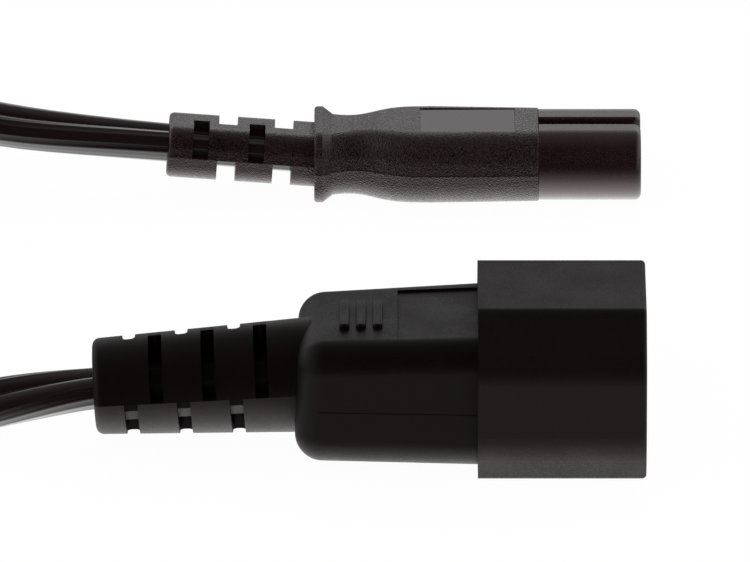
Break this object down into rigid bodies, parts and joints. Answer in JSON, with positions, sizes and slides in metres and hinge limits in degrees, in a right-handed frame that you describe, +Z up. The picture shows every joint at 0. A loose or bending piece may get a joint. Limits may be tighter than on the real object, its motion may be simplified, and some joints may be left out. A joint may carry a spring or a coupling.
{
  "type": "figure eight power connector",
  "caption": "Black figure-eight power connector with a slotted strain relief on a flat twin cord, coiled and tied, ending in an appliance inlet plug.",
  "frame": {"origin": "bottom centre of the connector's own box, on the surface it lies on; cord, coil, tie and plug are left out of it", "axes": "+X along the connector towards its nose, +Y across it and away from the plug, +Z up from the surface it lies on"},
  "size_m": [0.1746, 0.1101, 0.0198],
  "materials": {
    "grip_moulding": "fine grained soft moulding",
    "nose_plastic": "satin hard plastic",
    "contact_metal": "plain rolled strip",
    "strand_metal": "bare copper strands",
    "core_line": "smooth insulation",
    "core_neutral": "smooth insulation",
    "cord_sheath": "glossy flat twin sheath",
    "tie_plastic": "thin strap",
    "plug_moulding": "satin moulding",
    "hood_plastic": "satin moulding",
    "pin_metal": "bright nickel plate"
  },
  "bodies": {
    "root": {"connector_overmould": "grip_moulding", "connector_nose": "nose_plastic", "contact_line": "contact_metal", "contact_neutral": "contact_metal", "connector_strands_line": "strand_metal", "connector_strands_neutral": "strand_metal", "connector_core_line": "core_line", "connector_core_neutral": "core_neutral", "cord_run_connector": "cord_sheath", "cord_coil": "cord_sheath", "cord_run_plug": "cord_sheath", "coil_tie": "tie_plastic", "plug_overmould": "plug_moulding", "plug_hood": "hood_plastic", "pin_line": "pin_metal", "pin_neutral": "pin_metal", "pin_earth": "pin_metal", "plug_strands_line": "strand_metal", "plug_strands_neutral": "strand_metal", "plug_core_line": "core_line", "plug_core_neutral": "core_neutral"}
  },
  "joints": []
}
